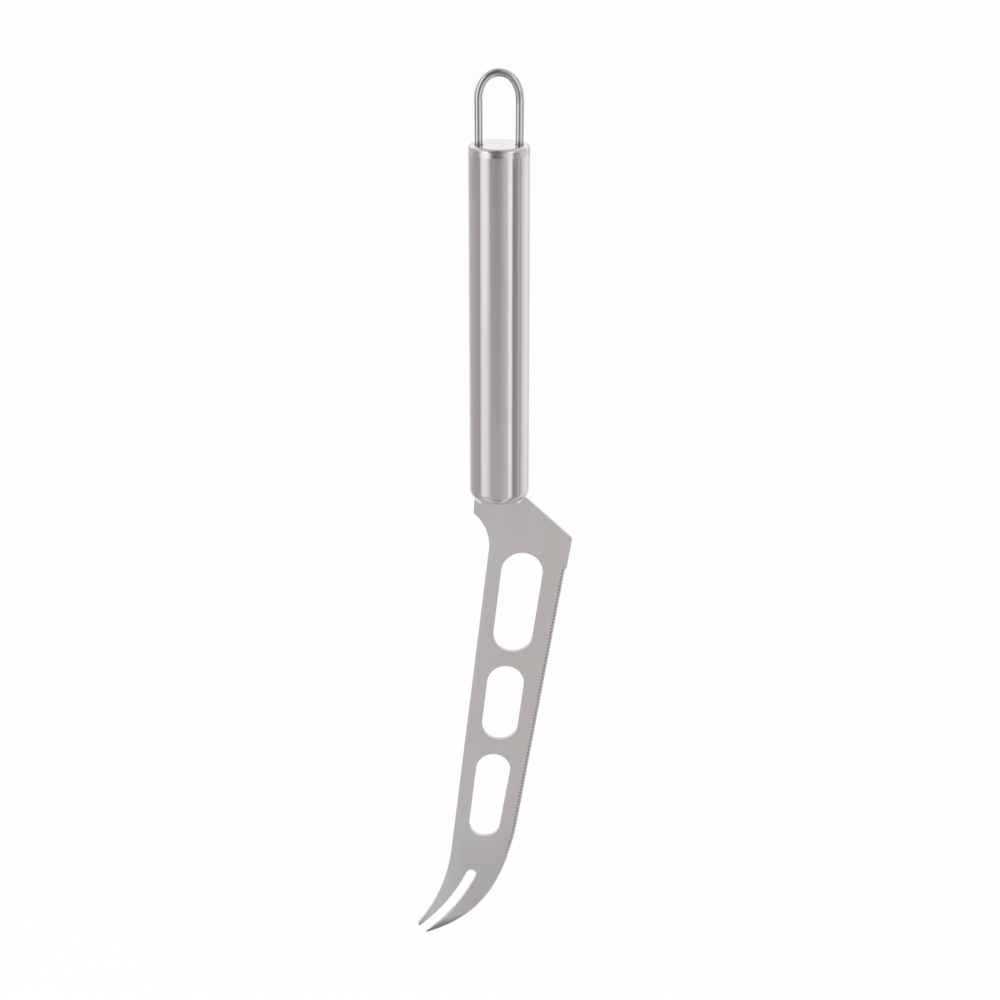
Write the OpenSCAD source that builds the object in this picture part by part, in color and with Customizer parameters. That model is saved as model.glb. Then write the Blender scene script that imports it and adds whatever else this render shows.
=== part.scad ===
// Cheese knife with a tube handle, a wire hanging loop and a slotted, toothed, forked blade.
// The knife hangs upright: Z runs up the handle's axis, and the blade lies in the XZ plane.
// The origin is the point where the loop bears on a hook, at the inside top of its arch.

/* [Handle] */
// Outer diameter of the handle tube
handle_d = 18; // [16:0.5:24]
// Length of the handle, with both caps
handle_len = 108.7; // [80:0.1:150]
// Wall thickness of the tube and of the caps' skirts
wall_t = 0.7; // [0.5:0.1:1.2]
// Radius of the rounding at the blade end
blade_end_r = 3.25; // [2:0.25:4]
// Radius of the rim's rounding at the loop end
loop_end_r = 1.1; // [0.6:0.1:2]
// Height of the loop end cap's lip, from its seam to the rounding
loop_lip_h = 1.6; // [0.4:0.1:3]
// How much this lip draws in on its way up
loop_lip_draw = 0.11; // [0.05:0.01:0.3]
// How far each cap's skirt reaches into the tube
skirt_len = 5; // [3:0.5:10]

/* [Hanging loop] */
// Diameter of the loop's wire
wire_d = 2.4; // [1.6:0.1:3.2]
// Radius of the wire's middle line over the top of the arch
arch_top_r = 5.35; // [4.8:0.05:5.6]
// Angle that this top curve spans on each side, in degrees
arch_top_turn = 59; // [50:1:65]
// Radius of the wire's middle line down the sides of the arch
arch_side_r = 9.9; // [8:0.1:12]
// Height of the loop's outer top above the cap
loop_rise = 22; // [16:1:32]
// Angle by which each leg leans inward, in degrees
leg_lean = 0.3; // [0.1:0.1:1.5]
// How far each leg reaches below the cap's sheet
leg_tail = 2.6; // [1.5:0.1:4]
// Clearance round each leg in its hole
leg_gap = 0.15; // [0.05:0.05:0.3]

/* [Blade] */
// Reach of the blade from the handle's end to its lower tip
blade_reach = 150.1; // [145:0.1:165]
// Thickness of the blade sheet
blade_t = 1.5; // [1:0.1:2]
// Place of the straight spine's line at the handle's end, from the axis
spine_x = -1.15; // [-2:0.05:0]
// Lean of the straight spine, in degrees
spine_lean = 6.75; // [6:0.25:7.5]
// Lean of the straight cutting edge, in degrees
edge_lean = 9.6; // [9:0.2:10.4]
// Width of the tang
tang_w = 11; // [8:0.5:12]
// Length of the tang above the handle's end
tang_len = 12; // [6:1:30]

/* [Shoulders and heel] */
// Gap between the handle's end and the shoulders beside the tang
shoulder_gap = 1.8; // [1.6:0.1:3]
// Rise of the spine side's shoulder beside the handle's rounding, in degrees
spine_shoulder_slope = 38; // [20:1:45]
// Rise of the edge side's shoulder beside the handle's rounding, in degrees
edge_shoulder_slope = 44; // [20:1:45]
// Distance of the spine side shoulder's corner from the handle's side
spine_shoulder_inset = 1.45; // [0.5:0.05:2.5]
// Distance of the edge side shoulder's corner from the handle's side
edge_shoulder_inset = 0.95; // [0:0.05:2]
// Depth of the heel's corner below the handle's end
heel_drop = 13; // [10:0.2:16]
// Radius of the heel's corner
heel_r = 0.8; // [0.3:0.1:1.5]
// How far the heel stands out beside the cutting edge
heel_offset = 0.35; // [0.2:0.05:1.2]
// Length of the heel's straight side
heel_len = 9.6; // [6:0.2:12]
// Depth of the slope from the heel's side to the first tooth
heel_chamfer = 1; // [0.5:0.1:2]
// Depth of the point where the neck's arc meets the spine
neck_drop = 16.9; // [15.6:0.1:20]
// Radius of the neck's arc
neck_r = 14; // [12:0.5:15]
// Angle that the neck's arc turns through, in degrees
neck_turn = 55.4; // [50:0.2:58]

/* [Tips] */
// Radius of the spine's curve to the upper prong
spine_r = 53; // [45:1:60]
// Angle that the spine's curve turns through, in degrees
spine_turn = 31.5; // [28:0.5:34]
// Height of the upper prong's tip above the lower one
tip_offset = 3.65; // [3:0.05:5]
// Distance from the upper prong's tip across to the lower one
tip_spread = 2.75; // [2.3:0.05:3.5]
// Width of the upper prong's blunt end
prong_end_w = 1.3; // [1:0.1:1.8]
// Lean of the upper prong's blunt end, in degrees
prong_end_lean = 20; // [0:1:40]
// Radius of the belly's first stretch, next to the straight edge
belly_r = 75.5; // [70:0.5:82]
// Angle that the first stretch turns through, in degrees
belly_turn = 15.9; // [13:0.1:17]
// Radius of the belly's last stretch, to the lower prong
point_r = 38.7; // [35:0.1:42]
// Angle that the last stretch turns through, in degrees
point_turn = 46.4; // [45:0.2:50]
// Width of the lower prong's blunt point
point_w = 0.4; // [0.3:0.1:1]
// Width of the ground face across the lower prong
ground_w = 3.8; // [2:0.1:5]
// Thickness to which the ground face thins the point
ground_t = 0.6; // [0.4:0.1:0.9]

/* [Fork slit] */
// Width of the slit
slit_w = 3.3; // [2.5:0.1:4]
// Length of the slit along its middle
slit_len = 27.4; // [20:0.1:30]
// Radius of the slit's middle line
slit_r = 57; // [52:0.5:64]
// Lean of the slit's middle line at the tips, in degrees
slit_lean = 51.2; // [49:0.2:53]

/* [Slots] */
// Depth of the first slot's upper end below the handle's end
slot_drop = 17.7; // [15:0.1:20]
// Width of the metal between the slots and the spine
slot_margin = 4.5; // [3:0.1:5.5]
// Height of the last slot's lower end above the lower tip
slot_foot = 35.2; // [30:0.2:45]
// Shares of the slots' lengths in the room that the bridges leave them
slot_shares = [0.378, 0.289, 0.333]; // [0.2:0.001:0.5]
// Widths of the slots at their upper ends
slot_widths = [12.9, 11.6, 10.9]; // [8:0.1:13]
// Widths of the slots at their lower ends
slot_end_widths = [12.3, 11.4, 9.9]; // [8:0.1:12.5]
// Widths of the bridges between the slots
bridge_widths = [4.75, 5]; // [3:0.05:7]

/* [Teeth] */
// Distance from tooth to tooth
tooth_pitch = 1.1; // [0.9:0.1:2]
// Length left without teeth at the end of the belly's first stretch
plain_len = 8; // [5:0.5:20]
// Depth of a gullet on the front face
gullet_depth = 0.95; // [0.6:0.05:1.2]
// Depth of a gullet on the back face
gullet_back_depth = 0.15; // [0.1:0.05:0.6]
// Width of a gullet's floor
gullet_floor_w = 0.45; // [0.1:0.05:0.5]
// Angle by which the gullets point towards the tips, in degrees
gullet_slant = 30; // [0:1:35]
// Width left between two gullets at the edge
tooth_land = 0.12; // [0.05:0.01:0.3]

/* [Hidden] */
$fn = 96;

// Overrun of every cut
cut = 1;
// Step between two stretches that run on into each other, so that their faces don't quite coincide
blend_offset = 0.01;
// How far a leg of the loop starts inside the arc above it
blend_lap = 0.2;
// Clearance of a cap's skirt in the tube
skirt_gap = 0.05;
// Clearance of the tang in its slot
seat_gap = 0.05;
// Straight wall of a cap between its rounding and its seam or sheet
lip_h = 0.2;
// Width and depth of a welded seam
seam_w = 0.3;
seam_depth = 0.35;
// Size of an inner weld bead, and of its blunt toe
bead_w = 1.2;
bead_toe = 0.2;
// Least width of a shoulder's level part beside the tang
shoulder_ledge = 0.4;
// Counts of the steps on curved stretches of the outline
corner_steps = 8;
curve_steps = 24;

handle_r = handle_d / 2;
bore_r = handle_r - wall_t;
skirt_r = bore_r - skirt_gap;
skirt_bore_r = skirt_r - wall_t;
tube_bottom = blade_end_r + lip_h;
rim_r = handle_r - loop_lip_draw;
rim_z = handle_len - loop_end_r;
loop_sheet_t = loop_end_r + lip_h;
sheet_z = handle_len - loop_sheet_t;
tube_top = rim_z - loop_lip_h;
cap_floor_r = skirt_bore_r - blade_end_r + wall_t;

wire_r = wire_d / 2;
leg_r = wire_r - blend_offset;
arch_z = handle_len + loop_rise - wire_r - arch_top_r;
arch_side_shift = arch_top_r - arch_side_r;
arch_side_turn = 90 - arch_top_turn + leg_lean;
leg_top_x = arch_side_shift * sin(arch_top_turn) + arch_side_r * cos(leg_lean);
leg_top_z = arch_z + arch_side_shift * cos(arch_top_turn) - arch_side_r * sin(leg_lean);
leg_len = (leg_top_z - sheet_z + leg_tail) / cos(leg_lean);
leg_cap_x = leg_top_x - (leg_top_z - sheet_z) * tan(leg_lean);
// Height of the loop's bearing point above the handle's blade end
bearing_z = handle_len + loop_rise - wire_d;

// A heading is an angle from straight down, and it grows towards the side that the tips bend to.
function ahead(heading) = [-sin(heading), -cos(heading)];
function outward(heading) = [cos(heading), -sin(heading)];
// What an arc of radius r moves by, as it turns on from a heading
function arc_shift(heading, r, turn) = r * (outward(heading + turn) - outward(heading));
function arc_angle(length, r) = length / r * 180 / PI;
function arc_len(r, turn) = r * turn * PI / 180;
function unit(v) = v / norm(v);

// Points that round the corner b between the points a and c with radius r
function corner_points(a, b, c, r) =
    let (
        to_a = unit(a - b),
        to_c = unit(c - b),
        half = acos(to_a * to_c) / 2,
        middle = b + unit(to_a + to_c) * r / sin(half),
        first = unit(b + to_a * r / tan(half) - middle),
        last = unit(b + to_c * r / tan(half) - middle),
        sweep = 180 - 2 * half
    )
    [for (i = [0:corner_steps])
        let (done = sweep * i / corner_steps)
        middle + r * (first * sin(sweep - done) + last * sin(done)) / sin(sweep)];

// Spine side, from the neck down to the upper prong's tip
spine_drop = blade_reach - tip_offset + arc_shift(spine_lean, spine_r, spine_turn)[1];
function spine_at(z) = [spine_x + z * tan(spine_lean), z];
spine_end = spine_at(-spine_drop);
spine_tip_lean = spine_lean + spine_turn;
neck_end = spine_at(-neck_drop);
upper_tip = spine_end + arc_shift(spine_lean, spine_r, spine_turn);
upper_foot = upper_tip + prong_end_w * [sin(prong_end_lean), -cos(prong_end_lean)];

// Edge side, from the lower prong's tip back up to the heel
point_lean = edge_lean + belly_turn;
tip_lean = point_lean + point_turn;
lower_tip = [upper_tip[0] + tip_spread, -blade_reach];
point_start = lower_tip - arc_shift(point_lean, point_r, point_turn);
belly_start = point_start - arc_shift(edge_lean, belly_r, belly_turn);
function edge_at(z) = [belly_start[0] + (z - belly_start[1]) * tan(edge_lean), z];
heel_corner = edge_at(-heel_drop) + [heel_offset / cos(edge_lean), 0];
heel_end = heel_corner + heel_len * ahead(edge_lean);
teeth_start = edge_at(heel_end[1] - heel_chamfer);

// Shoulders, which clear the handle's rounded end
shoulder_foot = max(handle_r - blade_end_r, tang_w / 2 + shoulder_ledge);
function shoulder_at(x, slope) = [x, (abs(x) - shoulder_foot) * tan(slope) - shoulder_gap];
spine_shoulder = shoulder_at(spine_shoulder_inset - handle_r, spine_shoulder_slope);
edge_shoulder = shoulder_at(handle_r - edge_shoulder_inset, edge_shoulder_slope);

// Fork slit, a band round one centre, with its inner end at a heading of slit_top_lean
slit_centre = lower_tip - (point_w + slit_w / 2 + slit_r) * outward(slit_lean);
slit_mouth = lower_tip - (point_w + slit_w / 2) * outward(slit_lean);
slit_top_lean = slit_lean - arc_angle(slit_len - slit_w / 2, slit_r);
slit_mouth_lean = slit_lean + arc_angle(2 * cut, slit_r);

// Slots, one below the other, with their lengths from the room between the first and the last end
slots_room = blade_reach - slot_foot - slot_drop - bridge_widths[0] - bridge_widths[1];
slot_lens = slots_room * slot_shares;
slot_tops = [
    slot_drop,
    slot_drop + slot_lens[0] + bridge_widths[0],
    slot_drop + slot_lens[0] + bridge_widths[0] + slot_lens[1] + bridge_widths[1]
];

// Teeth, counted along the straight edge and on round the belly
straight_run = norm(belly_start - teeth_start);
toothed_len = straight_run + arc_len(belly_r, belly_turn) - plain_len;
tooth_count = floor(toothed_len / tooth_pitch);
gullet_w = tooth_pitch * cos(gullet_slant) - tooth_land;
gullet_reach = gullet_depth / cos(gullet_slant);
gullet_tilt = atan((gullet_depth - gullet_back_depth) / cos(gullet_slant) / blade_t);
function belly_turn_at(run) = arc_angle(max(0, run - straight_run), belly_r);
function edge_point(run) = run < straight_run
    ? teeth_start + run * ahead(edge_lean)
    : belly_start + arc_shift(edge_lean, belly_r, belly_turn_at(run));

// Everything is drawn from the handle's blade end and lowered, so that the loop bears at the origin.
module in_place() {
    translate([0, 0, -bearing_z]) children();
}

// Sheet drawn in X and Z, centred on the XZ plane
module sheet(thickness) {
    rotate([90, 0, 0]) linear_extrude(height = thickness, center = true) children();
}

// Half section of a disc whose lower rim is rounded
module rim_profile(r, rounding, height) {
    square([r - rounding, height]);
    intersection() {
        translate([r - rounding, rounding]) circle(r = rounding);
        square([r, rounding]);
    }
    translate([0, rounding]) square([r, height - rounding]);
}

// V section of a seam round the tube, of a given depth past its floor
module seam_profile(z, depth) {
    half_w = seam_w / 2 * depth / seam_depth;
    floor_r = handle_r - seam_depth;
    polygon([[floor_r, z], [floor_r + depth, z - half_w], [floor_r + depth, z + half_w]]);
}

module handle_tube() {
    color("silver") in_place() rotate_extrude() difference() {
        translate([bore_r, tube_bottom]) square([wall_t, tube_top - tube_bottom]);
        seam_profile(tube_bottom, seam_depth + cut);
        seam_profile(tube_top, seam_depth + cut);
    }
}

module blade_end_cap() {
    color("silver") in_place() difference() {
        rotate_extrude() difference() {
            union() {
                rim_profile(handle_r, blade_end_r, tube_bottom);
                translate([0, blade_end_r]) square([skirt_r, lip_h + skirt_len]);
            }
            translate([0, wall_t]) {
                rim_profile(skirt_bore_r, blade_end_r - wall_t, tube_bottom + skirt_len);
            }
            seam_profile(tube_bottom, seam_depth + cut);
        }
        tang_slot();
    }
}

module tang_slot() {
    slot_size = [tang_w + 2 * seat_gap, blade_t + 2 * seat_gap];
    translate([0, 0, -cut]) linear_extrude(height = wall_t + 2 * cut) square(slot_size, center = true);
}

module loop_end_cap() {
    hollow_h = sheet_z - tube_top + skirt_len + cut;
    color("gainsboro") in_place() difference() {
        rotate_extrude() difference() {
            union() {
                translate([0, handle_len]) mirror([0, 1]) rim_profile(rim_r, loop_end_r, loop_sheet_t);
                polygon([[0, tube_top], [handle_r, tube_top], [rim_r, rim_z], [0, rim_z]]);
                translate([0, tube_top - skirt_len]) square([skirt_r, skirt_len]);
            }
            translate([0, sheet_z - hollow_h]) square([skirt_bore_r, hollow_h]);
            seam_profile(tube_top, seam_depth + cut);
        }
        loop_plane() for (side = [0, 1]) {
            leg(side, leg_r + leg_gap);
        }
    }
}

// Plane of the loop, drawn in X and Y from the centre of the arch's top curve
module loop_plane() {
    translate([0, 0, arch_z]) rotate([90, 0, 0]) children();
}

// End of the top curve on one side, with X pointing to it
module arch_end(side) {
    mirror([side, 0, 0]) rotate([0, 0, 90 - arch_top_turn]) children();
}

module wire_arc(r, turn) {
    rotate_extrude(angle = turn) translate([r, 0]) circle(r = wire_r);
}

// One of the loop's two straight legs, at a given radius
module leg(side, r) {
    arch_end(side) translate([arch_side_shift, 0, 0]) rotate([0, 0, -arch_side_turn]) {
        translate([arch_side_r, blend_lap, 0]) rotate([90, 0, 0]) cylinder(r = r, h = leg_len + blend_lap);
    }
}

module hanging_loop() {
    color("lightgray") in_place() loop_plane() {
        arch_end(0) wire_arc(arch_top_r, 2 * arch_top_turn);
        for (side = [0, 1]) {
            arch_end(side) translate([arch_side_shift, 0, 0]) mirror([0, 1, 0]) {
                wire_arc(arch_side_r, arch_side_turn);
            }
            leg(side, leg_r);
        }
    }
}

module blade_outline() {
    steps = [0:curve_steps];
    polygon(concat(
        [[tang_w / 2, tang_len], [tang_w / 2, -shoulder_gap], [shoulder_foot, -shoulder_gap]],
        [edge_shoulder],
        corner_points(edge_shoulder, heel_corner, heel_end, heel_r),
        [heel_end, teeth_start],
        [for (i = steps) belly_start + arc_shift(edge_lean, belly_r, belly_turn * i / curve_steps)],
        [for (i = steps) if (i > 0) point_start + arc_shift(point_lean, point_r, point_turn * i / curve_steps)],
        [slit_mouth, upper_foot],
        [for (i = steps) upper_tip + arc_shift(spine_tip_lean, spine_r, -spine_turn * i / curve_steps)],
        [for (i = steps) neck_end + arc_shift(spine_lean, neck_r, -neck_turn * i / curve_steps)],
        [spine_shoulder, [-shoulder_foot, -shoulder_gap], [-tang_w / 2, -shoulder_gap]],
        [[-tang_w / 2, tang_len]]
    ));
}

// Slot with round ends of two sizes, whose side next to the spine keeps the slots' margin
module slot_outline(top, length, top_w, end_w) {
    top_r = top_w / 2;
    end_r = end_w / 2;
    top_c = spine_at(-top - top_r) + [(slot_margin + top_r) / cos(spine_lean), 0];
    end_c = spine_at(-top - length + end_r) + [(slot_margin + end_r) / cos(spine_lean), 0];
    along = unit(end_c - top_c);
    across = [-along[1], along[0]];
    taper = asin((top_r - end_r) / norm(end_c - top_c));
    side_a = along * sin(taper) + across * cos(taper);
    side_b = along * sin(taper) - across * cos(taper);
    top_half = top_r - blend_offset;
    end_half = end_r - blend_offset;
    translate(top_c) circle(r = top_r);
    translate(end_c) circle(r = end_r);
    polygon([
        top_c + top_half * side_a,
        end_c + end_half * side_a,
        end_c + end_half * side_b,
        top_c + top_half * side_b
    ]);
}

module slots() {
    for (i = [0:2]) {
        slot_outline(slot_tops[i], slot_lens[i], slot_widths[i], slot_end_widths[i]);
    }
}

module slit() {
    wedge_reach = 2 * slit_r;
    translate(slit_centre) {
        intersection() {
            difference() {
                circle(r = slit_r + slit_w / 2);
                circle(r = slit_r - slit_w / 2);
            }
            polygon([[0, 0], wedge_reach * outward(slit_top_lean), wedge_reach * outward(slit_mouth_lean)]);
        }
        translate(slit_r * outward(slit_top_lean)) circle(r = slit_w / 2 - blend_offset);
    }
}

// One gullet's cutter: its floor runs from the front face outward to the back face.
module gullet_cutter() {
    mouth_x = gullet_reach;
    open_x = gullet_reach + blade_t + cut;
    translate([-gullet_reach, -blade_t / 2, 0]) rotate([0, 0, -gullet_tilt]) sheet(2 * (blade_t + cut)) {
        polygon([
            [0, gullet_floor_w / 2],
            [mouth_x, gullet_w / 2],
            [open_x, gullet_w / 2],
            [open_x, -gullet_w / 2],
            [mouth_x, -gullet_w / 2],
            [0, -gullet_floor_w / 2]
        ]);
    }
}

module gullets() {
    for (i = [0:tooth_count - 1]) {
        run = (i + 0.5) * tooth_pitch;
        place = edge_point(run);
        lean = edge_lean + belly_turn_at(run) + gullet_slant;
        translate([place[0], 0, place[1]]) rotate([0, lean, 0]) gullet_cutter();
    }
}

// Wedge that grinds the front face of the lower prong down towards its belly and point
module ground_face_cutter() {
    ridge = lower_tip - ground_w * outward(tip_lean);
    tilt = atan((blade_t - ground_t) / ground_w);
    size = point_r;
    difference() {
        translate([ridge[0], -blade_t / 2, ridge[1]]) rotate([0, tip_lean, 0]) rotate([0, 0, tilt]) {
            translate([0, -blade_t, -2 * cut]) cube([2 * ground_w, blade_t, size]);
        }
        translate([slit_centre[0], 0, slit_centre[1]]) rotate([90, 0, 0]) {
            cylinder(r = slit_r, h = 4 * blade_t, center = true);
        }
    }
}

module blade() {
    color("darkgray") in_place() difference() {
        sheet(blade_t) difference() {
            blade_outline();
            slots();
            slit();
        }
        gullets();
        ground_face_cutter();
    }
}

// Beads along both faces of the tang, on the cap's floor
module tang_welds() {
    face_y = blade_t / 2;
    half_len = sqrt(pow(cap_floor_r, 2) - pow(face_y + bead_w, 2));
    color("dimgray") in_place() for (side = [-1, 1]) {
        translate([-half_len, 0, wall_t]) rotate([90, 0, 90]) linear_extrude(height = 2 * half_len) {
            polygon([
                [side * face_y, 0],
                [side * (face_y + bead_w), 0],
                [side * (face_y + bead_w), bead_toe],
                [side * (face_y + bead_toe), bead_w],
                [side * face_y, bead_w]
            ]);
        }
    }
}

// Beads round the legs, under the cap's sheet and within its skirt
module loop_welds() {
    color("dimgray") in_place() difference() {
        intersection() {
            for (side = [-1, 1]) {
                translate([side * leg_cap_x, 0, sheet_z - bead_w]) {
                    cylinder(r1 = wire_r + bead_toe, r2 = wire_r + bead_w, h = bead_w);
                }
            }
            translate([0, 0, sheet_z - bead_w]) cylinder(r = skirt_bore_r, h = bead_w);
        }
        loop_plane() for (side = [0, 1]) {
            leg(side, leg_r);
        }
    }
}

module loop_cap_seam() {
    color("gray") in_place() rotate_extrude() seam_profile(tube_top, seam_depth);
}

module blade_cap_seam() {
    color("gray") in_place() rotate_extrude() seam_profile(tube_bottom, seam_depth);
}

handle_tube();
blade_end_cap();
loop_end_cap();
hanging_loop();
blade();
tang_welds();
loop_welds();
loop_cap_seam();
blade_cap_seam();
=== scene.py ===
import math

import bmesh
import bpy
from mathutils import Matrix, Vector

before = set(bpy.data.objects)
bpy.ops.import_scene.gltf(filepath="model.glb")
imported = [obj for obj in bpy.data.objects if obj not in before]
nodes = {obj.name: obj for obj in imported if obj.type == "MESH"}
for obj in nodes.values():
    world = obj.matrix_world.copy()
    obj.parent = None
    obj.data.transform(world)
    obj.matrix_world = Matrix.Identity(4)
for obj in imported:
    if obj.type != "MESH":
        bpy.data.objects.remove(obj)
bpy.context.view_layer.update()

# Lengths and places are in metres.
scene = bpy.context.scene

# The camera looks down on the hanging knife, as the photograph does.
ELEVATION = math.radians(19.4)
DISTANCE = 0.7328
AIM_X = 0.000244
AIM_Z = -0.1292
AIM_LIFT = 0.000153
LENS_MM = 86.4
SENSOR_MM = 36
NEAR_CLIP = 0.01
FAR_CLIP = 50


def make_camera():
    up = Vector((0, math.sin(ELEVATION), math.cos(ELEVATION)))
    back = Vector((0, -math.cos(ELEVATION), math.sin(ELEVATION)))
    data = bpy.data.cameras.new("camera")
    data.lens = LENS_MM
    data.sensor_width = SENSOR_MM
    data.clip_start = NEAR_CLIP
    data.clip_end = FAR_CLIP
    camera = bpy.data.objects.new("camera", data)
    camera.location = Vector((AIM_X, 0, AIM_Z)) + AIM_LIFT * up + DISTANCE * back
    camera.rotation_euler = (math.pi / 2 - ELEVATION, 0, 0)
    scene.collection.objects.link(camera)
    scene.camera = camera
    scene.view_settings.view_transform = "Standard"


# The usual range of a noise, which its values seldom leave
NOISE_LOW = 0.3
NOISE_HIGH = 0.7
# The rays by which a rounded edge is found
EDGE_SAMPLES = 6


class Net:
    """A short way to write a node tree."""

    def __init__(self, tree):
        self.tree = tree
        self.tree.nodes.clear()

    def add(self, kind, **settings):
        node = self.tree.nodes.new(kind)
        for key, value in settings.items():
            setattr(node, key, value)
        return node

    def link(self, output, socket):
        self.tree.links.new(output, socket)

    def put(self, value, socket):
        """Joins an output to the socket, or sets a plain value on it."""
        if isinstance(value, bpy.types.NodeSocket):
            self.link(value, socket)
        else:
            socket.default_value = value

    def place(self):
        return self.add("ShaderNodeTexCoord").outputs["Object"]

    def axes(self, vector):
        node = self.add("ShaderNodeSeparateXYZ")
        self.link(vector, node.inputs[0])
        return node.outputs

    def math(self, operation, a, b=0.0, clamp=False):
        node = self.add("ShaderNodeMath", operation=operation, use_clamp=clamp)
        self.put(a, node.inputs[0])
        self.put(b, node.inputs[1])
        return node.outputs[0]

    def plus(self, a, b, clamp=False):
        return self.math("ADD", a, b, clamp)

    def times(self, a, b):
        return self.math("MULTIPLY", a, b)

    def rest(self, share):
        """What a share leaves of the whole."""
        return self.math("SUBTRACT", 1.0, share)

    def reach(self, a, b):
        """How long a vector with these two parts is."""
        return self.math("SQRT", self.plus(self.times(a, a), self.times(b, b)))

    def remap(self, value, from_low, from_high, to_low, to_high):
        node = self.add("ShaderNodeMapRange")
        for item, socket in zip((value, from_low, from_high, to_low, to_high), node.inputs):
            self.put(item, socket)
        return node.outputs[0]

    def fade(self, value, start, full, most=1.0):
        """Rises from 0, where the value is at start, to most, where it is at full."""
        return self.remap(value, start, full, 0.0, most)

    def spread(self, noise, low, high):
        """Brings a noise from its usual range to the one from low to high."""
        return self.remap(noise, NOISE_LOW, NOISE_HIGH, low, high)

    def mix(self, factor, a, b, blend="MIX"):
        node = self.add("ShaderNodeMix", data_type="RGBA", blend_type=blend)
        # The node has sockets for numbers and vectors before those for colours.
        self.put(factor, node.inputs[0])
        self.put(a, node.inputs[6])
        self.put(b, node.inputs[7])
        return node.outputs[2]

    def tone(self, noise, shades):
        """Turns a noise into a colour between two shades."""
        return self.mix(self.spread(noise, 0.0, 1.0), *shades)

    def noise(self, vector, scale, detail=2.0, roughness=0.5):
        node = self.add("ShaderNodeTexNoise")
        self.link(vector, node.inputs["Vector"])
        node.inputs["Scale"].default_value = scale
        node.inputs["Detail"].default_value = detail
        node.inputs["Roughness"].default_value = roughness
        return node.outputs["Fac"]

    def streaks(self, vector, per_metre, roughness=0.6):
        """A noise with this many waves to the metre along each axis."""
        node = self.add("ShaderNodeMapping", vector_type="POINT")
        self.link(vector, node.inputs["Vector"])
        node.inputs["Scale"].default_value = per_metre
        return self.noise(node.outputs["Vector"], scale=1.0, detail=3.0, roughness=roughness)

    def bump(self, height, strength, distance, over=None):
        node = self.add("ShaderNodeBump")
        if over is not None:
            self.link(over, node.inputs["Normal"])
        node.inputs["Strength"].default_value = strength
        node.inputs["Distance"].default_value = distance
        self.link(height, node.inputs["Height"])
        return node.outputs["Normal"]

    def rounded(self, radius):
        """The normal of edges rounded by this radius, and how little it has turned: 1 is not at all."""
        node = self.add("ShaderNodeBevel", samples=EDGE_SAMPLES)
        node.inputs["Radius"].default_value = radius
        turn = self.add("ShaderNodeVectorMath", operation="DOT_PRODUCT")
        self.link(node.outputs["Normal"], turn.inputs[0])
        self.link(self.add("ShaderNodeNewGeometry").outputs["Normal"], turn.inputs[1])
        return node.outputs["Normal"], turn.outputs["Value"]

    def close(self, shader, kind="ShaderNodeOutputMaterial"):
        """Joins the last shader to the tree's output."""
        out = self.add(kind)
        self.link(shader.outputs[0], out.inputs[0])


def new_material(name):
    material = bpy.data.materials.new(name)
    material.use_nodes = True
    return material, Net(material.node_tree)


def metal(net, base, roughness, normal, anisotropic=0.0, tangent_axis=None):
    """A bare steel shader, joined to the output. The tangent's axis is the one along which the surface
    was drawn, or round which it was polished."""
    shader = net.add("ShaderNodeBsdfPrincipled")
    shader.inputs["Metallic"].default_value = 1.0
    shader.inputs["Anisotropic"].default_value = anisotropic
    net.link(base, shader.inputs["Base Color"])
    net.link(roughness, shader.inputs["Roughness"])
    net.link(normal, shader.inputs["Normal"])
    if tangent_axis:
        tangent = net.add("ShaderNodeTangent", direction_type="RADIAL", axis=tangent_axis)
        net.link(tangent.outputs["Tangent"], shader.inputs["Tangent"])
    net.close(shader)


TUBE_SHADES = [(0.685, 0.661, 0.660, 1), (0.725, 0.700, 0.699, 1)]
TUBE_CLOUD = (0.61, 0.588, 0.580, 1)
TUBE_ROUGHNESS = (0.07, 0.11)
HOOPS_WEIGHT = 0.4
LINES_WEIGHT = 0.6
# The values of the noise at which a cloud starts and is full, and how strong it gets
CLOUD_RANGE = (0.35, 0.75)
CLOUD_MOST = 0.35


def tube_steel():
    """Drawn tube, polished round and round: faint hoop lines, finer lines and soft clouds along it."""
    material, net = new_material("tube_steel")
    place = net.place()
    hoops = net.streaks(place, per_metre=(60, 60, 9000))
    lines = net.streaks(place, per_metre=(900, 900, 25), roughness=0.55)
    clouds = net.streaks(place, per_metre=(70, 70, 22), roughness=0.5)
    polish = net.plus(net.times(hoops, HOOPS_WEIGHT), net.times(lines, LINES_WEIGHT))
    base = net.tone(polish, TUBE_SHADES)
    base = net.mix(net.fade(clouds, *CLOUD_RANGE, CLOUD_MOST), base, TUBE_CLOUD)
    normal = net.bump(hoops, strength=0.05, distance=0.00002)
    rough = net.spread(clouds, *TUBE_ROUGHNESS)
    metal(net, base, rough, normal, anisotropic=0.45, tangent_axis="Z")
    return material


CAP_SHADES = [(0.775, 0.754, 0.750, 1), (0.825, 0.803, 0.800, 1)]
CAP_ROUGHNESS = (0.08, 0.12)
RINGS_PER_METRE = 9000.0


def cap_steel():
    """Cap turned on a lathe: fine rings round its axis, on the flat face and on the rim."""
    material, net = new_material("cap_steel")
    x, y, z = net.axes(net.place())
    rings = net.add("ShaderNodeCombineXYZ")
    net.link(net.times(net.reach(x, y), RINGS_PER_METRE), rings.inputs[0])
    net.link(net.times(z, RINGS_PER_METRE), rings.inputs[1])
    turned = net.noise(rings.outputs[0], scale=1.0, roughness=0.6)
    normal = net.bump(turned, strength=0.04, distance=0.00002)
    metal(net, net.tone(turned, CAP_SHADES), net.spread(turned, *CAP_ROUGHNESS), normal)
    return material


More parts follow.
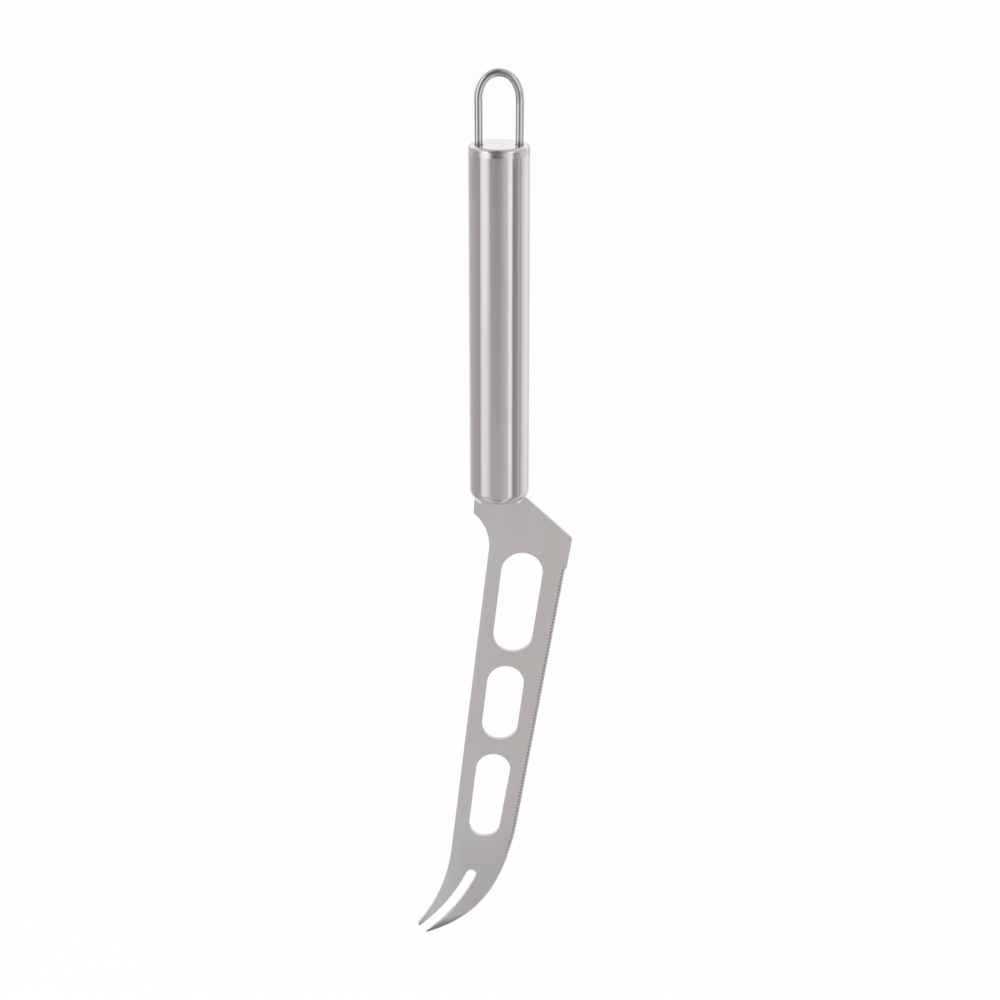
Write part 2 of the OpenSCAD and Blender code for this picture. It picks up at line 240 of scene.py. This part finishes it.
WIRE_SHADES = [(0.74, 0.735, 0.73, 1), (0.66, 0.655, 0.65, 1)]
WIRE_DULL_SHADES = [(0.36, 0.355, 0.35, 1), (0.56, 0.55, 0.545, 1)]
# The painted shade where the legs enter the cap
WIRE_FOOT_SHADE = (0.27, 0.262, 0.255, 1)
WIRE_ROUGHNESS = (0.02, 0.06)
# The values of the noises at which each is least and full
WEAR_RANGE = (0.35, 0.7)
WEAR_ROUGH_RANGE = (0.3, 0.75)
SPECKLE_RANGE = (0.35, 0.65)
# The middle line of the loop's arch is close to half an ellipse.
ARCH_HALF_WIDTH = 0.0060
ARCH_HEIGHT = 0.0077
ARCH_FOOT_Z = -0.0065
# The dull part: how far out it reaches, as a share of the ellipse, and where it starts and is full
DULL_REACH = (1.04, 0.94)
DULL_Z = (-0.0080, -0.0066)
DULL_X = (-0.0015, 0.001)
DULL_MOST = 0.85
DULL_ROUGHNESS = 0.30
# The painted shade above the cap, where the legs enter it: its heights, the unevenness of its border, and
# how strong it gets
FOOT_SHADE_Z = (-0.0180, -0.0194)
FOOT_SHADE_BORDER = 0.0004
FOOT_SHADE_MOST = 0.75


def wire_steel():
    """Polished bent wire with faint drawing lines and small wear. The bending tool left the inner side of
    the arch dull towards the toothed edge, and the legs get painted shade where they enter the cap."""
    material, net = new_material("wire_steel")
    place = net.place()
    x, y, z = net.axes(place)
    wear = net.noise(place, scale=900.0, detail=3.0, roughness=0.6)
    fine = net.noise(place, scale=5200.0)
    base = net.mix(net.fade(wear, *WEAR_RANGE), *WIRE_SHADES)
    wide = net.math("DIVIDE", x, ARCH_HALF_WIDTH)
    tall = net.math("DIVIDE", net.math("MAXIMUM", net.plus(z, -ARCH_FOOT_Z), 0.0), ARCH_HEIGHT)
    inner = net.times(net.fade(net.reach(wide, tall), *DULL_REACH), net.fade(z, *DULL_Z))
    dull = net.times(inner, net.fade(x, *DULL_X, DULL_MOST))
    base = net.mix(dull, base, net.mix(net.fade(fine, *SPECKLE_RANGE), *WIRE_DULL_SHADES))
    # Painted shade darkens the legs just above the cap, where they enter it.
    foot_shade = net.fade(net.plus(z, net.times(wear, FOOT_SHADE_BORDER)), *FOOT_SHADE_Z, FOOT_SHADE_MOST)
    base = net.mix(foot_shade, base, WIRE_FOOT_SHADE)
    rough = net.remap(wear, *WEAR_ROUGH_RANGE, *WIRE_ROUGHNESS)
    rough = net.plus(rough, net.times(dull, DULL_ROUGHNESS))
    metal(net, base, rough, net.bump(fine, strength=0.03, distance=0.00001))
    return material


# The blade's faces are warmer towards the teeth and in patches, and plain elsewhere.
FACE_WARM_SHADES = [(0.775, 0.745, 0.737, 1), (0.825, 0.796, 0.788, 1)]
FACE_PLAIN_SHADES = [(0.800, 0.797, 0.795, 1), (0.850, 0.848, 0.845, 1)]
# A painted sheen on the upper prong, and painted shade on the lower prong
UPPER_PRONG_SHEEN = (0.90, 0.90, 0.895, 1)
LOWER_PRONG_SHADE = (0.64, 0.635, 0.635, 1)
# Painted shade at the tips of the prongs
PRONG_TIP_SHADE = (0.45, 0.44, 0.435, 1)
# Painted shade on the face that is ground at the lower prong's point
SHADED_SLOPE_SHADES = [(0.34, 0.325, 0.32, 1), (0.46, 0.445, 0.44, 1)]
# Painted shade on the cut walls, and painted light on those that look up
SHADED_WALL_SHADES = [(0.46, 0.45, 0.44, 1), (0.60, 0.59, 0.58, 1)]
LIT_WALL_SHADES = [(0.86, 0.855, 0.85, 1), (0.94, 0.935, 0.93, 1)]
# Painted shade in the gullets
SHADED_GULLET_SHADES = [(0.14, 0.135, 0.13, 1), (0.24, 0.23, 0.22, 1)]
# A painted dark line on the broken corners
SHADED_CORNER_SHADES = [(0.44, 0.43, 0.42, 1), (0.56, 0.55, 0.54, 1)]
FACE_ROUGHNESS = (0.40, 0.46)
SPOT_ROUGHNESS = (-0.03, 0.03)
# What is cut or broken is smoother than the faces.
CUT_ROUGHNESS = -0.12
# The blade leans back from the handle's axis, and its grain with it.
BLADE_LEAN = math.radians(-8)
# How plain the faces' hue is, by the patches' noise, across the leaning blade from the spine's side to the
# teeth, and at the prongs
PATCH_RANGE = (0.35, 0.65)
PATCH_PLAIN = (-0.3, 0.8)
ACROSS_X = (0.016, 0.036)
ACROSS_PLAIN = (0.5, -0.4)
PRONGS_PLAIN = 0.5
# Each pair below says where a change starts and where it is full.
# Down to the prongs, and across them from the upper one to the lower one
PRONGS_Z = (-0.238, -0.254)
PRONGS_X = (-0.019, -0.010)
PRONGS_MOST = 0.4
# Out to the tips of the prongs, which get painted shade
TIPS_X = (-0.0225, -0.0264)
TIP_SHADE_MOST = 0.6
# From the front face into the slope that is ground at the lower prong's point
SLOPE_DEPTH_Y = (-0.00070, -0.00015)
# How squarely a surface looks to the front or the back: 1 on the faces, 0 on the square walls
WALLS_FLAT = (0.96, 0.90)
GULLETS_FLAT = (0.05, 0.11)
SLOPE_BELOW_FLAT = (0.995, 0.985)
SLOPE_ABOVE_FLAT = (0.95, 0.965)
# How far a wall looks up, which turns its painted shade into painted light
LIT_WALL_UP = (0.15, 0.45)
# The broken corners, smoother than the faces and with a painted dark line: their radius, how little their
# normal has turned, and how strong they get
CORNER_RADIUS = 0.00010
CORNER_TURN = (0.985, 0.85)
CORNER_MOST = 0.6


def blade_steel():
    """Cold rolled sheet with a dull satin finish: fine grain along the blade and faint patches on its faces,
    tool marks across its cut walls with painted shade on them and painted light on those that look up,
    broken corners that are smoother than the faces with a painted dark line, painted shade in the gullets,
    on the ground face at the lower prong's point and at the tips, and a painted sheen on the upper prong and
    painted shade on the lower one."""
    material, net = new_material("blade_steel")
    place = net.place()
    x, y, z = net.axes(place)
    turned = net.add("ShaderNodeMapping", vector_type="POINT")
    net.link(place, turned.inputs["Vector"])
    turned.inputs["Rotation"].default_value = (0, BLADE_LEAN, 0)
    along = turned.outputs["Vector"]
    across = net.axes(along)[0]
    facing = net.axes(net.add("ShaderNodeNewGeometry").outputs["True Normal"])
    flat = net.math("ABSOLUTE", facing[1])

    grain = net.streaks(along, per_metre=(5200, 5200, 420), roughness=0.65)
    patches = net.streaks(along, per_metre=(55, 55, 26), roughness=0.5)
    marks = net.streaks(place, per_metre=(2500, 9000, 2500))
    spots = net.noise(along, scale=2600.0)

    low = net.fade(z, *PRONGS_Z)
    patchy = net.remap(patches, *PATCH_RANGE, *PATCH_PLAIN)
    plain = net.plus(patchy, net.remap(across, *ACROSS_X, *ACROSS_PLAIN))
    plain = net.plus(plain, net.times(low, PRONGS_PLAIN), clamp=True)
    base = net.mix(plain, net.tone(grain, FACE_WARM_SHADES), net.tone(grain, FACE_PLAIN_SHADES))
    # Painted light on the prongs: a painted sheen on the upper one and painted shade on the lower one.
    prong_sheen_and_shade = net.mix(net.fade(x, *PRONGS_X), UPPER_PRONG_SHEEN, LOWER_PRONG_SHADE)
    base = net.mix(net.times(low, PRONGS_MOST), base, prong_sheen_and_shade)

    # Painted shade on the face that is ground at the lower prong's point.
    slope_shade = net.times(net.fade(flat, *SLOPE_BELOW_FLAT), net.fade(flat, *SLOPE_ABOVE_FLAT))
    base = net.mix(net.times(slope_shade, net.fade(y, *SLOPE_DEPTH_Y)), base, net.tone(marks, SHADED_SLOPE_SHADES))
    # Painted shade towards the tips of the prongs.
    base = net.mix(net.fade(x, *TIPS_X, TIP_SHADE_MOST), base, PRONG_TIP_SHADE)

    cut = net.fade(flat, *WALLS_FLAT)
    # The cut walls get painted shade, and painted light where they look up.
    lit_wall = net.fade(facing[2], *LIT_WALL_UP)
    walls = net.mix(lit_wall, net.tone(marks, SHADED_WALL_SHADES), net.tone(marks, LIT_WALL_SHADES))
    base = net.mix(cut, base, walls)
    # Painted shade in the gullets.
    gullets = net.times(cut, net.fade(flat, *GULLETS_FLAT))
    base = net.mix(gullets, base, net.tone(marks, SHADED_GULLET_SHADES))

    corner, turn = net.rounded(CORNER_RADIUS)
    # The broken corners are smoother, and get a painted dark line.
    broken = net.times(net.fade(turn, *CORNER_TURN, CORNER_MOST), net.rest(cut))
    base = net.mix(broken, base, net.tone(marks, SHADED_CORNER_SHADES))

    rough = net.plus(net.spread(patches, *FACE_ROUGHNESS), net.spread(spots, *SPOT_ROUGHNESS))
    rough = net.plus(rough, net.times(net.math("MAXIMUM", cut, broken), CUT_ROUGHNESS))
    height = net.plus(net.times(grain, net.rest(cut)), net.times(marks, cut))
    normal = net.bump(height, strength=0.12, distance=0.00002, over=corner)
    metal(net, base, rough, normal, anisotropic=0.3, tangent_axis="Z")
    return material


WELD_SHADES = [(0.52, 0.505, 0.49, 1), (0.62, 0.605, 0.59, 1)]
WELD_ROUGHNESS = (0.2, 0.3)


def weld_steel():
    """Weld metal as it sets, inside the caps: duller and slightly tinted, with fine ripples."""
    material, net = new_material("weld_steel")
    ripples = net.streaks(net.place(), per_metre=(1800, 1800, 3600))
    normal = net.bump(ripples, strength=0.1, distance=0.00003)
    metal(net, net.tone(ripples, WELD_SHADES), net.spread(ripples, *WELD_ROUGHNESS), normal)
    return material


def dress_nodes():
    """Gives each node its steel. The two seams are ground flush, so they look as the tube does."""
    tube = tube_steel()
    weld = weld_steel()
    finishes = {
        "handle_tube": tube,
        "blade_end_cap": tube,
        "loop_cap_seam": tube,
        "blade_cap_seam": tube,
        "loop_end_cap": cap_steel(),
        "hanging_loop": wire_steel(),
        "blade": blade_steel(),
        "tang_welds": weld,
        "loop_welds": weld,
    }
    for name, material in finishes.items():
        slots = nodes[name].data.materials
        slots.clear()
        slots.append(material)


# The floor is wide and white, and the knife hangs above it.
FLOOR_Z = -0.55
FLOOR_HALF_SIZE = 12.0
FLOOR_GLOW_SHARE = 0.8
FLOOR_WHITE = (0.9, 0.9, 0.9, 1)
PURE_WHITE = (1, 1, 1, 1)


def make_floor():
    """White for the camera, for reflections and for what shines through, over a plain diffuse white that
    keeps the shadow."""
    corners = [(-1, -1), (1, -1), (1, 1), (-1, 1)]
    points = [(side * FLOOR_HALF_SIZE, way * FLOOR_HALF_SIZE, FLOOR_Z) for side, way in corners]
    mesh = bpy.data.meshes.new("floor")
    mesh.from_pydata(points, [], [(0, 1, 2, 3)])
    floor = bpy.data.objects.new("floor", mesh)
    scene.collection.objects.link(floor)
    material, net = new_material("floor")
    path = net.add("ShaderNodeLightPath").outputs
    seen = net.math("MAXIMUM", path["Is Camera Ray"], path["Is Glossy Ray"])
    seen = net.math("MAXIMUM", seen, path["Is Transmission Ray"])
    diffuse = net.add("ShaderNodeBsdfDiffuse")
    diffuse.inputs["Color"].default_value = FLOOR_WHITE
    glow = net.add("ShaderNodeEmission")
    glow.inputs["Color"].default_value = PURE_WHITE
    mixed = net.add("ShaderNodeMixShader")
    net.link(net.times(seen, FLOOR_GLOW_SHARE), mixed.inputs[0])
    net.link(diffuse.outputs[0], mixed.inputs[1])
    net.link(glow.outputs[0], mixed.inputs[2])
    net.close(mixed)
    mesh.materials.append(material)


def make_world():
    """A plain white surrounding."""
    world = bpy.data.worlds.new("studio")
    world.use_nodes = True
    scene.world = world
    net = Net(world.node_tree)
    shader = net.add("ShaderNodeBackground")
    shader.inputs["Color"].default_value = PURE_WHITE
    shader.inputs["Strength"].default_value = 1.0
    net.close(shader, "ShaderNodeOutputWorld")


# A closed ring of plain light panels stands round the knife, and only reflections show it. Each zone of its
# height has its own list of azimuths, in degrees from the camera's side towards the toothed edge, each with
# its brightness.
FLOOR_PANELS = [
    (-180, 0.60), (-110, 0.60), (-85, 0.66), (-70, 0.80), (-55, 0.74), (-42, 0.62), (-30, 0.46),
    (0, 0.43), (15, 0.48), (30, 0.80), (42, 0.92), (52, 0.54), (60, 0.38), (72, 0.42), (85, 0.64),
    (105, 0.84), (180, 0.60),
]
FOOT_PANELS = [
    (-180, 0.90), (-150, 0.95), (-128, 0.50), (-110, 0.42), (-80, 0.58), (-72, 0.78), (-60, 0.74),
    (-48, 0.68), (-36, 0.58), (-20, 0.54), (0, 0.51), (20, 0.55), (36, 0.75), (48, 0.75), (58, 0.42),
    (75, 0.42), (88, 0.66), (105, 0.90), (150, 0.70), (180, 0.90),
]
LOWER_PANELS = [
    (-180, 0.95), (-165, 1.00), (-150, 0.95), (-140, 0.66), (-125, 0.58), (-112, 0.52), (-88, 0.49),
    (-77, 0.46), (-72, 0.95), (-62, 1.03), (-52, 1.00), (-41, 0.82), (-35, 0.62), (-28, 0.55),
    (-6, 0.52), (6, 0.54), (16, 0.60), (28, 0.65), (33, 0.74), (38, 1.06), (46, 1.13), (50, 0.62),
    (54, 0.32), (70, 0.38), (82, 0.62), (88, 0.40), (94, 0.78), (112, 0.95), (126, 1.05), (152, 0.72),
    (164, 0.92), (180, 0.95),
]
UPPER_PANELS = [
    (-180, 0.85), (-160, 0.80), (-140, 0.62), (-125, 0.58), (-112, 0.52), (-88, 0.47), (-77, 0.41),
    (-72, 1.00), (-62, 1.15), (-52, 1.15), (-41, 0.94), (-35, 0.56), (-28, 0.44), (-6, 0.40), (6, 0.45),
    (16, 0.60), (28, 0.70), (33, 0.90), (38, 1.16), (46, 1.22), (50, 0.72), (54, 0.28), (70, 0.38),
    (82, 0.62), (88, 0.42), (94, 0.80), (112, 1.00), (126, 1.15), (140, 0.95), (152, 0.72), (164, 0.92),
    (180, 0.85),
]
WIRE_PANELS = [
    (-180, 0.50), (-150, 0.60), (-122, 0.65), (-108, 0.42), (-92, 0.28), (-80, 0.30), (-74, 0.70),
    (-60, 1.25), (-48, 1.10), (-38, 0.65), (-25, 0.50), (-14, 0.27), (0, 0.24), (8, 0.30), (16, 0.55),
    (30, 0.70), (42, 1.10), (52, 1.00), (64, 0.80), (74, 0.55), (88, 0.40), (104, 0.36), (116, 0.65),
    (130, 0.80), (150, 0.60), (180, 0.50),
]
RIM_PANELS = [
    (-180, 0.40), (-150, 0.45), (-122, 0.52), (-100, 0.42), (-82, 0.42), (-74, 0.80), (-64, 1.08),
    (-46, 1.14), (-40, 1.05), (-35, 0.75), (-28, 0.30), (-14, 0.16), (0, 0.22), (10, 0.34), (20, 0.55),
    (34, 0.85), (48, 1.00), (55, 0.38), (60, 0.30), (84, 0.50), (90, 0.68), (122, 0.93), (137, 0.82),
    (150, 0.62), (180, 0.40),
]
HIGH_PANELS = [
    (-180, 1.00), (-140, 1.00), (-120, 0.55), (-85, 0.60), (-66, 0.90), (-56, 1.60), (-47, 1.40),
    (-38, 0.40), (-28, 0.16), (0, 0.20), (14, 0.34), (28, 0.55), (42, 1.20), (54, 1.20), (66, 0.60),
    (90, 0.55), (120, 0.60), (140, 1.00), (180, 1.00),
]
TOP_PANELS = [
    (-180, 0.80), (-90, 0.70), (-62, 0.60), (-45, 0.20), (-28, 0.12), (0, 0.16), (15, 0.36), (40, 0.50),
    (60, 0.70), (180, 0.80),
]
# Each zone with the heights at which it starts and ends. It fades into the next one between them.
ZONES = [
    (-0.56, -0.545, FLOOR_PANELS),
    (-0.52, -0.35, FOOT_PANELS),
    (-0.285, -0.26, LOWER_PANELS),
    (-0.115, -0.100, UPPER_PANELS),
    (-0.092, -0.074, WIRE_PANELS),
    (-0.064, -0.01, RIM_PANELS),
    (0.04, 0.20, HIGH_PANELS),
    (0.29, 0.45, TOP_PANELS),
]
# The ring stands just clear of the floor.
RING_FOOT = FLOOR_Z + 0.002
RING_TOP = 0.45
RING_R = 0.40
RING_SEGMENTS = 180
PANEL_TINT = (1.0, 0.985, 0.98, 1)
# The ring's roof is lighter over the knife and behind it.
ROOF_Z = (RING_TOP - 0.004, RING_TOP - 0.002)
ROOF_LIGHT = (0.55, 0.55, 0.55, 1)
ROOF_LIGHT_FULL = 0.05
ROOF_LIGHT_END = 0.25


def panel_ramp(net, share, stops):
    """The brightness of one zone's panels, by the share of the way round."""
    ramp = net.add("ShaderNodeValToRGB")
    net.link(share, ramp.inputs[0])
    elements = ramp.color_ramp.elements
    for azimuth, brightness in stops[1:-1]:
        elements.new((azimuth + 180) / 360)
    for element, (azimuth, brightness) in zip(elements, stops):
        element.color = (brightness, brightness, brightness, 1)
    return ramp.outputs[0]


def ring_light(net):
    """The colour of the ring at each place on it."""
    x, y, z = net.axes(net.place())
    azimuth = net.math("ARCTAN2", x, net.times(y, -1.0))
    share = net.remap(azimuth, -math.pi, math.pi, 0.0, 1.0)
    level = panel_ramp(net, share, ZONES[0][2])
    for (_, end, _), (start, _, panels) in zip(ZONES, ZONES[1:]):
        level = net.mix(net.fade(z, end, start), level, panel_ramp(net, share, panels))
    ahead = net.math("SUBTRACT", net.reach(x, y), y)
    over = net.remap(ahead, ROOF_LIGHT_FULL, ROOF_LIGHT_END, 1.0, 0.0)
    level = net.mix(net.times(net.fade(z, *ROOF_Z), over), level, ROOF_LIGHT)
    return net.mix(1.0, level, PANEL_TINT, "MULTIPLY")


def make_ring():
    mesh = bpy.data.meshes.new("light_panels")
    form = bmesh.new()
    height = RING_TOP - RING_FOOT
    bmesh.ops.create_cone(
        form, cap_ends=True, segments=RING_SEGMENTS, radius1=RING_R, radius2=RING_R, depth=height
    )
    bmesh.ops.translate(form, verts=form.verts, vec=(0, 0, RING_FOOT + height / 2))
    form.to_mesh(mesh)
    form.free()
    ring = bpy.data.objects.new("light_panels", mesh)
    scene.collection.objects.link(ring)
    material, net = new_material("light_panels")
    glow = net.add("ShaderNodeEmission")
    net.link(ring_light(net), glow.inputs["Color"])
    net.close(glow)
    material.cycles.emission_sampling = "NONE"
    mesh.materials.append(material)
    ring.visible_camera = False
    ring.visible_shadow = False
    ring.visible_transmission = False
    ring.visible_diffuse = False


# One soft lamp stands high on the camera's left, and points at the knife's middle.
KEY_PLACE = Vector((-0.5, -0.6, 1.2))
KEY_AIM = Vector((0, 0, -0.13))
KEY_SIZE = 0.8
KEY_WATTS = 5.0


def make_key_light():
    data = bpy.data.lights.new("key_light", "AREA")
    data.shape = "SQUARE"
    data.size = KEY_SIZE
    data.energy = KEY_WATTS
    light = bpy.data.objects.new("key_light", data)
    light.location = KEY_PLACE
    light.rotation_euler = (KEY_AIM - KEY_PLACE).to_track_quat("-Z", "Y").to_euler()
    light.visible_camera = False
    scene.collection.objects.link(light)


make_camera()
dress_nodes()
make_floor()
make_world()
make_ring()
make_key_light()
